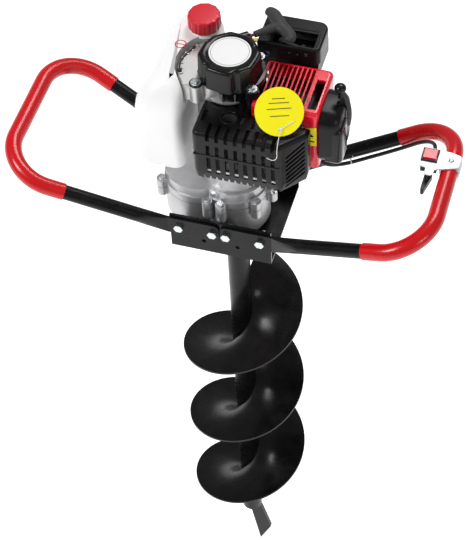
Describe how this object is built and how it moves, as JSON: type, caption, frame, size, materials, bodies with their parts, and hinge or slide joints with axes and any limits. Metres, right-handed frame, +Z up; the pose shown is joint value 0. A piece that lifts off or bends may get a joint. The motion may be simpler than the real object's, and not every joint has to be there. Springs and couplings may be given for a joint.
{
  "type": "powered auger",
  "caption": "Hand-held petrol auger: helical bit under a reduction gearbox and small engine, with two wide side loop handles.",
  "frame": {"origin": "on the drive axis at the tip of the pilot point, the lowest point of the tool", "axes": "+Z up along the drive axis towards the engine, +X towards the handle with the throttle, -Y towards the front flange and the muffler guard"},
  "size_m": [0.661, 0.266, 1.287],
  "materials": {
    "black_paint": "semi-gloss black powder coat",
    "steel_zinc": "zinc-plated fasteners",
    "steel_gear": "hardened and ground steel",
    "cast_alu": "sand-blasted aluminium casting",
    "alu_silver": "silver-painted aluminium",
    "blade_steel": "ground hardened steel",
    "red_rubber": "dipped glossy red vinyl grip",
    "black_rubber": "matte",
    "gasket": "compressed fibre",
    "foam": "filter foam",
    "black_plastic": "moulded, fine texture",
    "red_plastic": "moulded, glossy",
    "tank_white": "blow-moulded translucent polyethylene",
    "red_cap": "moulded, glossy",
    "grey_plastic": "moulded, grey",
    "heat_steel": "heat-tinted steel",
    "rope": "braided nylon",
    "cable_black": "PVC sleeve",
    "hose_yellow": "translucent yellow fuel hose",
    "tag_yellow": "printed card",
    "ceramic": "glazed ceramic and steel",
    "bracket_white": "light grey paint",
    "string_white": "thin cotton string"
  },
  "bodies": {
    "root": {"frame_bracket": "black_paint", "handle_bolts": "steel_zinc", "handle_nuts": "steel_zinc", "deck_bolts": "steel_zinc", "right_handle_tube": "black_paint", "left_handle_tube": "black_paint", "right_grip": "red_rubber", "left_grip": "red_rubber", "ball_bearings": "steel_gear", "shaft_seal": "black_rubber", "gearbox_lower": "cast_alu", "gearbox_gasket": "gasket", "gearbox_upper": "cast_alu", "gearbox_bolts": "steel_zinc", "clutch_housing": "cast_alu", "crankcase": "cast_alu", "cylinder": "cast_alu", "spark_plug": "ceramic", "muffler_guard": "black_plastic", "muffler": "heat_steel", "cylinder_shroud": "red_plastic", "end_cover": "grey_plastic", "carburettor": "alu_silver", "air_filter_base": "black_plastic", "air_filter_element": "foam", "air_filter_cover": "black_plastic", "fan_housing": "alu_silver", "recoil_housing": "black_plastic", "recoil_screws": "steel_zinc", "starter_rope": "rope", "fuel_tank": "tank_white", "fuel_line": "hose_yellow", "switch_bracket": "bracket_white", "stop_switch": "black_plastic", "control_cable": "cable_black", "hang_tag": "tag_yellow"},
    "bit": {"output_shaft": "steel_gear", "output_gear": "steel_gear", "bit_tube": "black_paint", "bit_pin": "steel_zinc", "pin_clip": "steel_zinc", "auger_flight": "black_paint", "cutter_blade": "blade_steel", "cutter_bolts": "steel_zinc", "pilot_point": "black_paint"},
    "layshaft_set": {"layshaft": "steel_gear", "layshaft_gear": "steel_gear"},
    "clutch_output": {"input_pinion": "steel_gear", "clutch_drum": "steel_gear"},
    "crank": {"crankshaft": "steel_gear", "clutch_shoes": "steel_gear", "flywheel_fan": "cast_alu"},
    "piston_set": {"piston": "cast_alu"},
    "starter_pulley": {"recoil_pulley": "black_plastic"},
    "starter_grip": {"recoil_handle": "black_plastic"},
    "cap_carrier": {"cap_seal": "black_rubber"},
    "cap": {"fuel_cap": "red_cap"},
    "choke": {"choke_lever": "black_plastic"},
    "rocker": {"switch_rocker": "red_plastic"},
    "throttle": {"throttle_lever": "black_plastic"}
  },
  "joints": [
    {"name": "bit_spin", "type": "hinge", "parent": "root", "child": "bit", "pos_m": [0, 0, 0.9], "axis": [0, 0, 1], "continuous": true},
    {"name": "layshaft_spin", "type": "hinge", "parent": "root", "child": "layshaft_set", "pos_m": [-0.0525, 0, 1], "axis": [0, 0, 1], "continuous": true},
    {"name": "drum_spin", "type": "hinge", "parent": "root", "child": "clutch_output", "pos_m": [0, 0, 1.05], "axis": [0, 0, 1], "continuous": true},
    {"name": "crank_spin", "type": "hinge", "parent": "root", "child": "crank", "pos_m": [0, 0, 1.17], "axis": [0, 0, 1], "continuous": true},
    {"name": "piston_slide", "type": "slide", "parent": "root", "child": "piston_set", "axis": [1, 0, 0], "range_m": [-0.017, 0.017]},
    {"name": "starter_pull", "type": "slide", "parent": "root", "child": "starter_grip", "axis": [0.7431, 0.6691, 0], "range_m": [0, 0.5], "stiffness_N_per_m": 20, "springref_m": -0.1, "deforming": ["starter_rope"]},
    {"name": "pulley_spin", "type": "hinge", "parent": "root", "child": "starter_pulley", "pos_m": [0, 0, 1.268], "axis": [0, 0, 1], "range_deg": [-955, 0]},
    {"name": "cap_lift", "type": "slide", "parent": "root", "child": "cap_carrier", "axis": [0, 0, 1], "range_m": [0, 0.008]},
    {"name": "cap_turn", "type": "hinge", "parent": "cap_carrier", "child": "cap", "pos_m": [-0.056, 0.072, 1.27], "axis": [0, 0, 1], "range_deg": [0, 722]},
    {"name": "choke_turn", "type": "hinge", "parent": "root", "child": "choke", "pos_m": [0.054, 0.085, 1.24], "axis": [0, 0, 1], "range_deg": [0, 32]},
    {"name": "rocker_tip", "type": "hinge", "parent": "root", "child": "rocker", "pos_m": [0.2855, 0.039, 1.1123], "axis": [1, 0, 0], "range_deg": [-8, 8]},
    {"name": "throttle_squeeze", "type": "hinge", "parent": "root", "child": "throttle", "pos_m": [0.2885, 0.01, 1.0935], "axis": [0, 0, 1], "range_deg": [0, 13], "stiffness_Nm_per_rad": 0.2, "springref_deg": -17.19}
  ],
  "couplings": [
    {"joint": "layshaft_spin", "follows": "bit_spin", "ratio": -5},
    {"joint": "drum_spin", "follows": "bit_spin", "ratio": 30},
    {"joint": "pulley_spin", "follows": "starter_pull", "rad_per_m": -33.333},
    {"joint": "cap_turn", "follows": "cap_lift", "rad_per_m": 1570.8}
  ]
}
